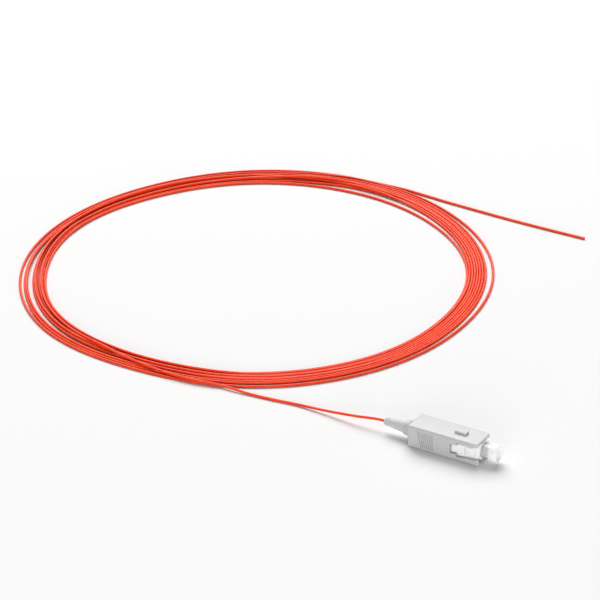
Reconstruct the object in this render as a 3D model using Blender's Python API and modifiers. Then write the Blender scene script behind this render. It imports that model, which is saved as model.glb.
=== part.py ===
# Fibre optic pigtail: an SC push-pull connector on a coiled length of 0.9 mm buffered fibre.
# Metres, +Z up. +X runs along the connector towards its mating end. The floor is z = 0.

from math import cos, pi, radians, sin, sqrt, tan

import bmesh
import bpy
from mathutils import Matrix, Vector

MM = 0.001
JOIN_DISTANCE = 0.001 * MM
POLE_MERGE = 0.01 * MM

# Named clearances
GAP = 0.3 * MM
CAP_GAP = 0.2 * MM
SLIDE_GAP = 0.35 * MM
FIBRE_GAP = 0.15 * MM

# How far a trimming outline stands outside the faces that it leaves alone
OVERHANG = 0.01 * MM

# Fibre and its coil
FIBRE_RADIUS = 0.45 * MM
COIL_CENTRE_X = -112.8 * MM
COIL_CENTRE_Y = 72.1 * MM
COIL_MIDDLE_RADIUS = 76.3 * MM
COIL_TURNS_ABREAST = 8
COIL_TURN_PITCH = 1.28 * MM
COIL_LAYERS = 2
COIL_STEPS = 96
COIL_HUMP_STEPS = 3
HUMP_START = radians(30)
HUMP_SWEEP = radians(120)
HUMP_FILL = 0.96
FIBRE_POINT_SPACING = 5 * FIBRE_RADIUS
SPAN_STEPS = 24

# Stations along the connector, measured from the middle of the grip's block
BOOT_TIP = -22.7 * MM
COLLAR_END = -15.2 * MM
GRIP_REAR = -12.3 * MM
GRIP_FRONT = 12.3 * MM
GRIP_TOP_FRONT = 11.9 * MM
PLUG_REAR = -9.0 * MM
PLUG_FRONT = 12.0 * MM
WEB_REAR = -0.5 * MM
WEB_FRONT = 2.0 * MM
FERRULE_TIP = 12.9 * MM
CAP_REAR = 7.5 * MM
CAP_HEAD_REAR = 14.6 * MM
CAP_FRONT = 17.3 * MM
MIDDLE_X = (BOOT_TIP + CAP_FRONT) / 2

# Grip
GRIP_WIDTH = 9.0 * MM
GRIP_HEIGHT = 7.4 * MM
AXIS_HEIGHT = GRIP_HEIGHT / 2
GRIP_SIDE_WALL = 0.9 * MM
GRIP_TOP_WALL = 0.6 * MM
GRIP_REAR_WALL = 1.0 * MM
GRIP_REAR_CORNER = 0.6 * MM
GRIP_FRONT_CORNER = 1.5 * MM
GRIP_LONG_EDGE = 0.7 * MM
GRIP_TRAVEL = 2.0 * MM
COLLAR_ROOT_RADIUS = 3.6 * MM
COLLAR_LIP = 0.2 * MM
COLLAR_STEPS = 6
COLLAR_CROWDING = 1.5
COLLAR_FLARE = 2.5
KEY_START = 2.2 * MM
KEY_END = 6.2 * MM
KEY_WIDTH = 2.2 * MM
KEY_HEIGHT = 0.8 * MM
KEY_CORNER = 0.3 * MM

# Side windows: a narrow slot at the rear, then a wide opening whose edges ramp together to the front
WINDOW_REAR = 2.5 * MM
WINDOW_STEP = 4.6 * MM
RAMP_END = 10.0 * MM
SLOT_HALF_HEIGHT = 1.55 * MM
RAIL_THIN = 1.3 * MM
RAIL_THICK = 1.9 * MM
ROOF_THIN = 1.1 * MM
ROOF_THICK = 1.3 * MM

# Finger grooves: they fan out from upright at the front to leaning at the rear
GROOVE_START = -8.1 * MM
GROOVE_PITCH = 0.76 * MM
GROOVE_COUNT = 7
GROOVE_WIDTH = 0.36 * MM
GROOVE_DEPTH = 0.3 * MM
GROOVE_HEIGHT = 5.2 * MM
GROOVE_LEAN = radians(15)

# Plug body: its outside follows from the grip's hollow
HOLLOW_WIDTH = GRIP_WIDTH - 2 * GRIP_SIDE_WALL
HOLLOW_HEIGHT = GRIP_HEIGHT - 2 * GRIP_TOP_WALL
PLUG_WIDTH = HOLLOW_WIDTH - 2 * GAP
PLUG_HEIGHT = HOLLOW_HEIGHT - 2 * GAP
PLUG_CORNER = 0.5 * MM
PLUG_BORE_RADIUS = 2.4 * MM
NOSE_RADIUS = 3.3 * MM
NOSE_LENGTH = 1.2 * MM
PAD_REAR = WINDOW_REAR + SLIDE_GAP
PAD_STEP = WINDOW_STEP + SLIDE_GAP
PAD_SPLIT = 7.3 * MM
PAD_SPLIT_GAP = 0.3 * MM
PAD_FRONT = 9.9 * MM
PAD_EDGE = 0.15 * MM
REAR_PAD_HEIGHT = 0.65 * MM
REAR_PAD_TOP = 5.6 * MM
FRONT_PAD_HEIGHT = 0.5 * MM
FRONT_PAD_BOTTOM = 2.6 * MM
FRONT_PAD_TOP = 5.3 * MM
NOTCH_STATIONS = (10.4 * MM, 11.2 * MM)
NOTCH_WIDTH = 0.35 * MM
NOTCH_DEPTH = 0.25 * MM

# Ferrule, spring and rear body
FERRULE_RADIUS = 1.25 * MM
FERRULE_CHAMFER = 0.25 * MM
FLANGE_RADIUS = PLUG_BORE_RADIUS - SLIDE_GAP
FLANGE_FRONT = WEB_REAR - GAP
FLANGE_LENGTH = 2.4 * MM
FLANGE_REAR = FLANGE_FRONT - FLANGE_LENGTH
TAIL_RADIUS = 0.9 * MM
TAIL_LENGTH = 2.6 * MM
REAR_BODY_FRONT = -6.7 * MM
SPRING_WIRE_RADIUS = 0.2 * MM
SPRING_RADIUS = 1.5 * MM
SPRING_TURNS = 4
REAR_FLANGE_RADIUS = 2.7 * MM
REAR_FLANGE_LENGTH = 1.0 * MM
NIPPLE_RADIUS = 1.0 * MM
NIPPLE_END = -13.4 * MM
FIBRE_BORE_RADIUS = FIBRE_RADIUS + FIBRE_GAP

# Boot
BOOT_FLANGE_FRONT = PLUG_REAR - GAP - REAR_FLANGE_LENGTH - GAP
BOOT_FLANGE_REAR = GRIP_REAR + GRIP_REAR_WALL + GAP
BOOT_FLANGE_RADIUS = 2.5 * MM
BOOT_ROOT_RADIUS = 1.85 * MM
BOOT_TIP_RADIUS = 1.2 * MM
BOOT_TIP_EDGE = 0.2 * MM
BOOT_GROOVE_STATIONS = (BOOT_TIP + 1.9 * MM, BOOT_TIP + 1.0 * MM)
BOOT_GROOVE_WIDTH = 0.4 * MM
BOOT_GROOVE_DEPTH = 0.18 * MM
COLLAR_HOLE_RADIUS = BOOT_ROOT_RADIUS + GAP

# Dust cap
CAP_NECK_RADIUS = PLUG_BORE_RADIUS - CAP_GAP
CAP_BORE_RADIUS = FERRULE_RADIUS + GAP
CAP_BORE_REACH = 1.2 * MM
CAP_HEAD_RADIUS = 2.9 * MM
CAP_RECESS_RADIUS = 2.0 * MM
CAP_RECESS_DEPTH = 0.35 * MM
CAP_RIM = 0.6 * MM
CAP_EDGE = 0.3 * MM
CAP_NECK_FILLET = 0.2 * MM

# Placements that stand an outline, drawn flat, on its edge
ALONG_Y = Matrix.Rotation(pi / 2, 4, "X")
ALONG_X = Matrix.Rotation(-pi / 2, 4, "Y")
CORNER_STEPS = 4
TURN_STEPS = 32
CAP_STEPS = 40
RIM_STEPS = 3
SPRING_STEPS = 16
SMOOTH_ANGLE = radians(35)

# Colours
LIGHT_GREY = (0.74, 0.73, 0.73, 1.0)
BOOT_GREY = (0.66, 0.66, 0.67, 1.0)
WHITE = (0.88, 0.88, 0.87, 1.0)
CERAMIC_WHITE = (0.9, 0.89, 0.85, 1.0)
STEEL = (0.55, 0.55, 0.56, 1.0)
CAP_WHITE = (0.85, 0.86, 0.92, 1.0)
FIBRE_ORANGE = (0.93, 0.09, 0.03, 1.0)


def clear_scene():
    for old in list(bpy.data.objects):
        bpy.data.objects.remove(old, do_unlink=True)


def new_collection(name):
    collection = bpy.data.collections.new(name)
    bpy.context.scene.collection.children.link(collection)
    return collection


def material(name, colour, roughness, metallic=0.0):
    made = bpy.data.materials.new(name)
    made.use_nodes = True
    shader = made.node_tree.nodes["Principled BSDF"]
    shader.inputs["Base Color"].default_value = colour
    shader.inputs["Roughness"].default_value = roughness
    shader.inputs["Metallic"].default_value = metallic
    return made


def add_object(name, mesh, collection):
    made = bpy.data.objects.new(name, mesh)
    collection.objects.link(made)
    return made


def plain_mesh(source):
    """Read an object's finished shape as a mesh with its doubled points joined, and remove the object."""
    bpy.context.view_layer.update()
    evaluated = source.evaluated_get(bpy.context.evaluated_depsgraph_get())
    mesh = bpy.data.meshes.new_from_object(evaluated)
    bpy.data.objects.remove(source, do_unlink=True)
    work = bmesh.new()
    work.from_mesh(mesh)
    bmesh.ops.remove_doubles(work, verts=work.verts, dist=JOIN_DISTANCE)
    bmesh.ops.recalc_face_normals(work, faces=work.faces)
    work.to_mesh(mesh)
    work.free()
    return mesh


def mesh_from_curve(curve, name, collection, placement):
    """Turn a curve into a plain mesh object, with the placement written into its points."""
    source = bpy.data.objects.new(name + "_curve", curve)
    collection.objects.link(source)
    mesh = plain_mesh(source)
    mesh.transform(placement)
    mesh.name = name
    return add_object(name, mesh, collection)


def extruded(name, outline, low, high, collection, turn=Matrix.Identity(4)):
    """Extrude a closed outline in the XY plane from low to high, then turn it into place."""
    curve = bpy.data.curves.new(name, "CURVE")
    curve.dimensions = "2D"
    curve.fill_mode = "BOTH"
    curve.extrude = (high - low) / 2
    spline = curve.splines.new("POLY")
    spline.points.add(len(outline) - 1)
    for point, (x, y) in zip(spline.points, outline):
        point.co = (x, y, 0.0, 1.0)
    spline.use_cyclic_u = True
    lift = Matrix.Translation((0.0, 0.0, (high + low) / 2))
    return mesh_from_curve(curve, name, collection, turn @ lift)


def screwed(name, profile, steps, collection, closed):
    """Turn a profile of (radius, height) pairs about the Z axis."""
    vertices = [(radius, 0.0, height) for radius, height in profile]
    edges = [(i, i + 1) for i in range(len(vertices) - 1)]
    if closed:
        edges.append((len(vertices) - 1, 0))
    wire = bpy.data.meshes.new(name + "_profile")
    wire.from_pydata(vertices, edges, [])
    source = add_object(name + "_profile", wire, collection)
    screw = source.modifiers.new("turn", "SCREW")
    screw.axis = "Z"
    screw.steps = steps
    screw.render_steps = steps
    screw.use_merge_vertices = True
    screw.merge_threshold = POLE_MERGE
    mesh = plain_mesh(source)
    mesh.name = name
    return add_object(name, mesh, collection)


def turned(name, profile, steps, collection, closed):
    """Turn a profile of (station, radius) pairs about the connector's axis."""
    upright = [(radius, station) for station, radius in profile]
    made = screwed(name, upright, steps, collection, closed)
    made.data.transform(Matrix.Translation((0.0, 0.0, AXIS_HEIGHT)) @ Matrix.Rotation(pi / 2, 4, "Y"))
    return made


def rounded_polygon(corners):
    """A closed outline through (x, y, radius) corners, each rounded by an arc of its radius."""
    outline = []
    for i, (x, y, radius) in enumerate(corners):
        if radius == 0.0:
            outline.append((x, y))
            continue
        corner = Vector((x, y))
        before = (Vector(corners[i - 1][:2]) - corner).normalized()
        after = (Vector(corners[(i + 1) % len(corners)][:2]) - corner).normalized()
        half = before.angle(after) / 2
        centre = corner + (before + after).normalized() * (radius / sin(half))
        arm = corner + before * (radius / tan(half)) - centre
        sweep = pi - 2 * half
        if before.cross(after) > 0.0:
            sweep = -sweep
        for k in range(CORNER_STEPS + 1):
            outline.append(tuple(centre + Matrix.Rotation(sweep * k / CORNER_STEPS, 2) @ arm))
    return outline


def rounded_box(x_low, x_high, half_width, low_radius, high_radius):
    """A rectangle about the X axis with one corner radius at its low end and another at its high end."""
    return rounded_polygon([
        (x_high, -half_width, high_radius), (x_high, half_width, high_radius),
        (x_low, half_width, low_radius), (x_low, -half_width, low_radius)])


def boolean(target, cutter, operation):
    step = target.modifiers.new(operation.lower(), "BOOLEAN")
    step.operation = operation
    step.solver = "EXACT"
    step.object = cutter


def finish(made, its_material, round_piece):
    made.data.materials.clear()
    made.data.materials.append(its_material)
    if round_piece:
        made.data.shade_smooth()
        made.data.set_sharp_from_angle(angle=SMOOTH_ANGLE)
    else:
        made.data.shade_flat()


def smooth_route(points, spacing):
    """Read points at even spacing from a smooth curve through the route points."""
    dense = []
    last = len(points) - 1
    for i in range(last):
        before = points[max(i - 1, 0)]
        start = points[i]
        end = points[i + 1]
        after = points[min(i + 2, last)]
        for k in range(SPAN_STEPS):
            t = k / SPAN_STEPS
            dense.append([
                0.5 * (2 * b + (c - a) * t + (2 * a - 5 * b + 4 * c - d) * t ** 2
                       + (3 * b - a - 3 * c + d) * t ** 3)
                for a, b, c, d in zip(before, start, end, after)
            ])
    dense.append(list(points[last]))
    steps = [sqrt(sum((q - p) ** 2 for p, q in zip(m, n))) for m, n in zip(dense, dense[1:])]
    total = sum(steps)
    count = max(2, round(total / spacing))
    route = [dense[0]]
    walked = 0.0
    wanted = total / count
    for point, after, step in zip(dense, dense[1:], steps):
        while walked + step >= wanted and len(route) < count:
            share = (wanted - walked) / step
            route.append([p + (q - p) * share for p, q in zip(point, after)])
            wanted += total / count
        walked += step
    route.append(dense[-1])
    return route


def fibre_tube(name, points, collection):
    curve = bpy.data.curves.new(name, "CURVE")
    curve.dimensions = "3D"
    curve.bevel_depth = FIBRE_RADIUS
    curve.bevel_resolution = 2
    curve.use_fill_caps = True
    route = smooth_route(points, FIBRE_POINT_SPACING)
    spline = curve.splines.new("POLY")
    spline.points.add(len(route) - 1)
    for point, (x, y, z) in zip(spline.points, route):
        point.co = (x, y, z, 1.0)
    return mesh_from_curve(curve, name, collection, Matrix.Identity(4))


def rail_top(station):
    """Height of the window's lower edge, which ramps up towards the front."""
    share = min(max((station - WINDOW_STEP) / (RAMP_END - WINDOW_STEP), 0.0), 1.0)
    return RAIL_THIN + (RAIL_THICK - RAIL_THIN) * share


def grip_plan(name, front, overhang, low, high, cutters):
    """The grip seen from above, a hair larger all round, so that it only takes off the upright corners."""
    return extruded(
        name,
        rounded_box(
            GRIP_REAR - overhang, front + overhang, GRIP_WIDTH / 2 + overhang,
            GRIP_REAR_CORNER, GRIP_FRONT_CORNER),
        low, high, cutters)


def make_grip_block(parts, cutters):
    """The outside: a rounded section along the grip, trimmed to its side view and its plan."""
    grip = extruded(
        "grip", rounded_box(0.0, GRIP_HEIGHT, GRIP_WIDTH / 2, GRIP_LONG_EDGE, GRIP_LONG_EDGE),
        -GRIP_FRONT - MM, -GRIP_REAR + MM, parts, ALONG_X)
    below = -OVERHANG
    above = GRIP_HEIGHT + OVERHANG
    side_view = extruded("side_view", rounded_polygon([
        (GRIP_REAR, below, GRIP_REAR_CORNER), (GRIP_FRONT, below, GRIP_REAR_CORNER / 2),
        (GRIP_FRONT, AXIS_HEIGHT, 0.0), (GRIP_TOP_FRONT, AXIS_HEIGHT, 0.0),
        (GRIP_TOP_FRONT, above, GRIP_REAR_CORNER / 2), (GRIP_REAR, above, GRIP_REAR_CORNER),
    ]), -GRIP_WIDTH, GRIP_WIDTH, cutters, ALONG_Y)
    boolean(grip, side_view, "INTERSECT")
    plan = grip_plan("low_plan", GRIP_FRONT, OVERHANG, -MM, AXIS_HEIGHT + OVERHANG, cutters)
    high_plan = grip_plan(
        "high_plan", GRIP_TOP_FRONT, 2 * OVERHANG, AXIS_HEIGHT / 2, GRIP_HEIGHT + MM, cutters)
    boolean(plan, high_plan, "UNION")
    boolean(grip, plan, "INTERSECT")
    return grip


def make_collar(cutters):
    """The trumpet that runs from the boot out to the grip's rear face."""
    inside = GRIP_REAR + GRIP_REAR_WALL / 2
    end_radius = COLLAR_HOLE_RADIUS + COLLAR_LIP
    profile = [(inside, 0.0), (inside, COLLAR_ROOT_RADIUS)]
    for i in range(COLLAR_STEPS + 1):
        share = (i / COLLAR_STEPS) ** COLLAR_CROWDING
        station = GRIP_REAR + (COLLAR_END - GRIP_REAR) * share
        flare = (1.0 - share) ** COLLAR_FLARE
        profile.append((station, end_radius + (COLLAR_ROOT_RADIUS - end_radius) * flare))
    profile.append((COLLAR_END, 0.0))
    return turned("collar", profile, TURN_STEPS, cutters, False)


def cut_windows(grip, cutters):
    roof = GRIP_HEIGHT - ROOF_THIN
    low_roof = GRIP_HEIGHT - ROOF_THICK
    beyond = GRIP_FRONT + MM
    windows = extruded("windows", [
        (WINDOW_REAR, AXIS_HEIGHT - SLOT_HALF_HEIGHT), (WINDOW_STEP, AXIS_HEIGHT - SLOT_HALF_HEIGHT),
        (WINDOW_STEP, RAIL_THIN), (RAMP_END, RAIL_THICK), (beyond, RAIL_THICK),
        (beyond, low_roof), (RAMP_END, low_roof), (WINDOW_STEP, roof),
        (WINDOW_STEP, AXIS_HEIGHT + SLOT_HALF_HEIGHT), (WINDOW_REAR, AXIS_HEIGHT + SLOT_HALF_HEIGHT),
    ], -GRIP_WIDTH, GRIP_WIDTH, cutters, ALONG_Y)
    boolean(grip, windows, "DIFFERENCE")


def cut_grooves(grip, cutters):
    outline = [
        (-GROOVE_WIDTH / 2, -GROOVE_HEIGHT / 2), (GROOVE_WIDTH / 2, -GROOVE_HEIGHT / 2),
        (GROOVE_WIDTH / 2, GROOVE_HEIGHT / 2), (-GROOVE_WIDTH / 2, GROOVE_HEIGHT / 2)]
    for side, side_name in ((-1, "near"), (1, "far")):
        for i in range(GROOVE_COUNT):
            lean = GROOVE_LEAN * (1.0 - i / GROOVE_COUNT)
            placement = (
                Matrix.Translation((GROOVE_START + i * GROOVE_PITCH, side * GRIP_WIDTH / 2, AXIS_HEIGHT))
                @ Matrix.Rotation(-lean, 4, "Y") @ ALONG_Y)
            groove = extruded(
                "groove_" + side_name + str(i + 1), outline, -GROOVE_DEPTH, GROOVE_DEPTH, cutters, placement)
            boolean(grip, groove, "DIFFERENCE")


def make_grip(parts, cutters):
    grip = make_grip_block(parts, cutters)
    boolean(grip, make_collar(cutters), "UNION")

    key = extruded(
        "key", rounded_box(KEY_START, KEY_END, KEY_WIDTH / 2, KEY_CORNER, KEY_CORNER),
        GRIP_HEIGHT - GRIP_TOP_WALL / 2, GRIP_HEIGHT + KEY_HEIGHT, cutters)
    boolean(grip, key, "UNION")

    hollow = extruded(
        "hollow",
        rounded_box(GRIP_REAR + GRIP_REAR_WALL, GRIP_FRONT + MM, HOLLOW_WIDTH / 2, KEY_CORNER, KEY_CORNER),
        GRIP_TOP_WALL, GRIP_HEIGHT - GRIP_TOP_WALL, cutters)
    boolean(grip, hollow, "DIFFERENCE")

    hole = turned("boot_hole", [
        (GRIP_REAR + 2 * GRIP_REAR_WALL, 0.0),
        (GRIP_REAR + 2 * GRIP_REAR_WALL, COLLAR_HOLE_RADIUS),
        (COLLAR_END - MM, COLLAR_HOLE_RADIUS),
        (COLLAR_END - MM, 0.0),
    ], TURN_STEPS, cutters, False)
    boolean(grip, hole, "DIFFERENCE")

    cut_windows(grip, cutters)
    cut_grooves(grip, cutters)
    return grip


def make_latch_pads(cutters):
    """The pads that fill the windows; they stay clear of the ramps while the grip slides back."""
    rear_half = PLUG_WIDTH / 2 + REAR_PAD_HEIGHT
    slot = SLOT_HALF_HEIGHT - SLIDE_GAP
    rear_pads = extruded("rear_pads", rounded_polygon([
        (PAD_REAR, AXIS_HEIGHT - slot, PAD_EDGE),
        (PAD_STEP, AXIS_HEIGHT - slot, 0.0),
        (PAD_STEP, rail_top(PAD_STEP + GRIP_TRAVEL) + SLIDE_GAP, PAD_EDGE),
        (PAD_SPLIT, rail_top(PAD_SPLIT + GRIP_TRAVEL) + SLIDE_GAP, PAD_EDGE),
        (PAD_SPLIT, REAR_PAD_TOP, 3 * PAD_EDGE),
        (PAD_STEP, REAR_PAD_TOP, 3 * PAD_EDGE),
        (PAD_STEP - 2 * PAD_EDGE, AXIS_HEIGHT + slot, 0.0),
        (PAD_REAR, AXIS_HEIGHT + slot, PAD_EDGE),
    ]), -rear_half, rear_half, cutters, ALONG_Y)
    front_half = PLUG_WIDTH / 2 + FRONT_PAD_HEIGHT
    front_pads = extruded("front_pads", rounded_polygon([
        (PAD_SPLIT + PAD_SPLIT_GAP, FRONT_PAD_BOTTOM, PAD_EDGE), (PAD_FRONT, FRONT_PAD_BOTTOM, PAD_EDGE),
        (PAD_FRONT, FRONT_PAD_TOP, PAD_EDGE), (PAD_SPLIT + PAD_SPLIT_GAP, FRONT_PAD_TOP, PAD_EDGE),
    ]), -front_half, front_half, cutters, ALONG_Y)
    return rear_pads, front_pads


def cut_nose(body, cutters):
    """Take the body's corners off at its front, and cut the upright notches behind it in both sides."""
    corner = PLUG_WIDTH
    nose = turned("nose", [
        (PLUG_FRONT - NOSE_LENGTH, corner), (PLUG_FRONT + MM, corner),
        (PLUG_FRONT + MM, NOSE_RADIUS - PLUG_CORNER), (PLUG_FRONT - PLUG_CORNER, NOSE_RADIUS),
        (PLUG_FRONT - NOSE_LENGTH, NOSE_RADIUS + PLUG_CORNER),
    ], TURN_STEPS, cutters, True)
    boolean(body, nose, "DIFFERENCE")
    for i, station in enumerate(NOTCH_STATIONS):
        for side, side_name in ((-1, "near"), (1, "far")):
            middle = side * PLUG_WIDTH / 2
            notch = extruded(
                "notch_" + side_name + str(i + 1),
                rounded_box(station, station + NOTCH_WIDTH, NOTCH_DEPTH, 0.0, 0.0),
                -MM, GRIP_HEIGHT + MM, cutters, Matrix.Translation((0.0, middle, 0.0)))
            boolean(body, notch, "DIFFERENCE")


def make_bore(cutters):
    """The body's bore, with the web that carries the ferrule's flange left across it."""
    web_hole_radius = FERRULE_RADIUS + GAP
    return turned("bore", [
        (PLUG_FRONT + MM, 0.0), (PLUG_FRONT + MM, PLUG_BORE_RADIUS),
        (WEB_FRONT, PLUG_BORE_RADIUS), (WEB_FRONT, web_hole_radius),
        (WEB_REAR, web_hole_radius), (WEB_REAR, PLUG_BORE_RADIUS),
        (PLUG_REAR - MM, PLUG_BORE_RADIUS), (PLUG_REAR - MM, 0.0),
    ], TURN_STEPS, cutters, False)


def make_plug_body(parts, cutters):
    low = AXIS_HEIGHT - PLUG_HEIGHT / 2
    high = AXIS_HEIGHT + PLUG_HEIGHT / 2
    body = extruded(
        "plug_body", rounded_box(low, high, PLUG_WIDTH / 2, PLUG_CORNER, PLUG_CORNER),
        -PLUG_FRONT, -PLUG_REAR, parts, ALONG_X)
    cut_nose(body, cutters)
    for pads in make_latch_pads(cutters):
        boolean(body, pads, "UNION")

    boolean(body, make_bore(cutters), "DIFFERENCE")
    return body


def make_ferrule(parts):
    profile = [
        (FERRULE_TIP, 0.0),
        (FERRULE_TIP, FERRULE_RADIUS - FERRULE_CHAMFER),
        (FERRULE_TIP - 2 * FERRULE_CHAMFER, FERRULE_RADIUS),
        (FLANGE_FRONT, FERRULE_RADIUS),
        (FLANGE_FRONT, FLANGE_RADIUS),
        (FLANGE_REAR, FLANGE_RADIUS),
        (FLANGE_REAR, TAIL_RADIUS),
        (FLANGE_REAR - TAIL_LENGTH, TAIL_RADIUS),
        (FLANGE_REAR - TAIL_LENGTH, 0.0),
    ]
    return turned("ferrule", profile, TURN_STEPS, parts, False)


def make_ferrule_spring(parts):
    start = FLANGE_REAR - GAP - SPRING_WIRE_RADIUS
    end = REAR_BODY_FRONT + GAP + SPRING_WIRE_RADIUS
    curve = bpy.data.curves.new("ferrule_spring", "CURVE")
    curve.dimensions = "3D"
    curve.bevel_depth = SPRING_WIRE_RADIUS
    curve.bevel_resolution = 1
    curve.use_fill_caps = True
    count = SPRING_TURNS * SPRING_STEPS
    spline = curve.splines.new("POLY")
    spline.points.add(count)
    for i, point in enumerate(spline.points):
        angle = 2 * pi * i / SPRING_STEPS
        station = start + (end - start) * i / count
        point.co = (
            station, SPRING_RADIUS * cos(angle), AXIS_HEIGHT + SPRING_RADIUS * sin(angle), 1.0)
    return mesh_from_curve(curve, "ferrule_spring", parts, Matrix.Identity(4))


def make_rear_body(parts):
    flange_front = PLUG_REAR - GAP
    flange_rear = flange_front - REAR_FLANGE_LENGTH
    front_radius = PLUG_BORE_RADIUS - GAP
    inner_radius = TAIL_RADIUS + GAP
    profile = [
        (REAR_BODY_FRONT, inner_radius),
        (REAR_BODY_FRONT, front_radius),
        (flange_front, front_radius),
        (flange_front, REAR_FLANGE_RADIUS),
        (flange_rear, REAR_FLANGE_RADIUS),
        (flange_rear, NIPPLE_RADIUS),
        (NIPPLE_END, NIPPLE_RADIUS),
        (NIPPLE_END, FIBRE_BORE_RADIUS),
        (flange_rear, FIBRE_BORE_RADIUS),
        (flange_front, inner_radius),
    ]
    return turned("rear_body", profile, TURN_STEPS, parts, True)


def make_boot(parts):
    nipple_bore = NIPPLE_RADIUS + GAP
    straight_end = COLLAR_END - MM
    profile = [
        (BOOT_FLANGE_FRONT, nipple_bore),
        (BOOT_FLANGE_FRONT, BOOT_FLANGE_RADIUS),
        (BOOT_FLANGE_REAR, BOOT_FLANGE_RADIUS),
        (BOOT_FLANGE_REAR, BOOT_ROOT_RADIUS),
        (straight_end, BOOT_ROOT_RADIUS),
    ]
    groove_half = BOOT_GROOVE_WIDTH / 2

    def radius_at(station):
        share = (station - BOOT_TIP) / (straight_end - BOOT_TIP)
        return BOOT_TIP_RADIUS + (BOOT_ROOT_RADIUS - BOOT_TIP_RADIUS) * share

    for station in BOOT_GROOVE_STATIONS:
        outer = radius_at(station)
        profile.append((station + groove_half, outer))
        profile.append((station + groove_half / 2, outer - BOOT_GROOVE_DEPTH))
        profile.append((station - groove_half / 2, outer - BOOT_GROOVE_DEPTH))
        profile.append((station - groove_half, outer))
    profile.append((BOOT_TIP + BOOT_TIP_EDGE, BOOT_TIP_RADIUS))
    profile.append((BOOT_TIP, BOOT_TIP_RADIUS - BOOT_TIP_EDGE))
    profile.append((BOOT_TIP, FIBRE_BORE_RADIUS))
    profile.append((NIPPLE_END - GAP, FIBRE_BORE_RADIUS))
    profile.append((NIPPLE_END - GAP, nipple_bore))
    return turned("boot", profile, TURN_STEPS, parts, True)


def make_dust_cap(parts):
    bore_end = FERRULE_TIP + CAP_BORE_REACH
    recess_floor = CAP_FRONT - CAP_RECESS_DEPTH
    profile = [
        (recess_floor, 0.0),
        (recess_floor, CAP_RECESS_RADIUS - CAP_EDGE),
        (CAP_FRONT, CAP_RECESS_RADIUS),
        (CAP_FRONT, CAP_HEAD_RADIUS - CAP_RIM),
    ]
    for i in range(1, RIM_STEPS + 1):
        angle = pi / 2 * i / RIM_STEPS
        profile.append((
            CAP_FRONT - CAP_RIM * (1.0 - cos(angle)), CAP_HEAD_RADIUS - CAP_RIM * (1.0 - sin(angle))))
    profile += [
        (CAP_HEAD_REAR + CAP_EDGE, CAP_HEAD_RADIUS),
        (CAP_HEAD_REAR, CAP_HEAD_RADIUS - CAP_EDGE),
        (CAP_HEAD_REAR, CAP_NECK_RADIUS + CAP_NECK_FILLET),
        (CAP_HEAD_REAR - CAP_NECK_FILLET, CAP_NECK_RADIUS),
        (CAP_REAR, CAP_NECK_RADIUS),
        (CAP_REAR, CAP_BORE_RADIUS),
        (bore_end, CAP_BORE_RADIUS),
        (bore_end, 0.0),
    ]
    return turned("dust_cap", profile, CAP_STEPS, parts, False)


def make_coil(parts):
    """The turns as one ring that lies on the floor, with a hump for each turn that shows."""
    half_width = COIL_TURNS_ABREAST * COIL_TURN_PITCH / 2
    outer_edge = COIL_MIDDLE_RADIUS + half_width
    inner_edge = COIL_MIDDLE_RADIUS - half_width
    height = COIL_LAYERS * 2 * FIBRE_RADIUS
    profile = [(outer_edge - FIBRE_RADIUS / 2, 0.0), (outer_edge, FIBRE_RADIUS)]
    for turn in range(COIL_TURNS_ABREAST):
        centre = outer_edge - (turn + 0.5) * COIL_TURN_PITCH
        at_edge = turn in (0, COIL_TURNS_ABREAST - 1)
        crest = height - 2 * FIBRE_RADIUS if at_edge else height
        for i in range(COIL_HUMP_STEPS + 1):
            angle = HUMP_START + HUMP_SWEEP * i / COIL_HUMP_STEPS
            radius = centre + HUMP_FILL * COIL_TURN_PITCH / 2 * cos(angle) / cos(HUMP_START)
            profile.append((radius, crest - FIBRE_RADIUS * (1.0 - sin(angle))))
    profile += [(inner_edge, FIBRE_RADIUS), (inner_edge + FIBRE_RADIUS / 2, 0.0)]
    ring = screwed("fibre_coil", profile, COIL_STEPS, parts, True)
    ring.data.transform(Matrix.Translation((COIL_CENTRE_X, COIL_CENTRE_Y, 0.0)))
    return ring


def make_lead(parts):
    """The fibre from the boot down to the floor and up to the coil's outer side."""
    route = [
        (-20.3, 0.0, 3.7), (-24.0, -0.1, 3.45), (-30.7, -0.5, 2.6), (-41.2, -0.2, 1.25), (-51.5, -0.3, 0.55),
        (-60.9, -1.5, 0.46), (-68.0, -2.2, 0.5), (-73.5, -2.5, 0.75), (-78.7, -2.75, 0.9)]
    return fibre_tube("fibre_lead", [(x * MM, y * MM, z * MM) for x, y, z in route], parts)


def make_tail(parts):
    """The fibre from the coil's outer side to its bare cut end."""
    route = [
        (-107.0, 154.1, 0.46), (-100.2, 154.1, 0.46), (-91.2, 153.4, 0.46), (-82.8, 152.7, 0.46),
        (-61.9, 151.6, 0.46), (-45.0, 151.2, 0.46), (-28.3, 151.2, 0.46)]
    return fibre_tube("fibre_tail", [(x * MM, y * MM, z * MM) for x, y, z in route], parts)


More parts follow.
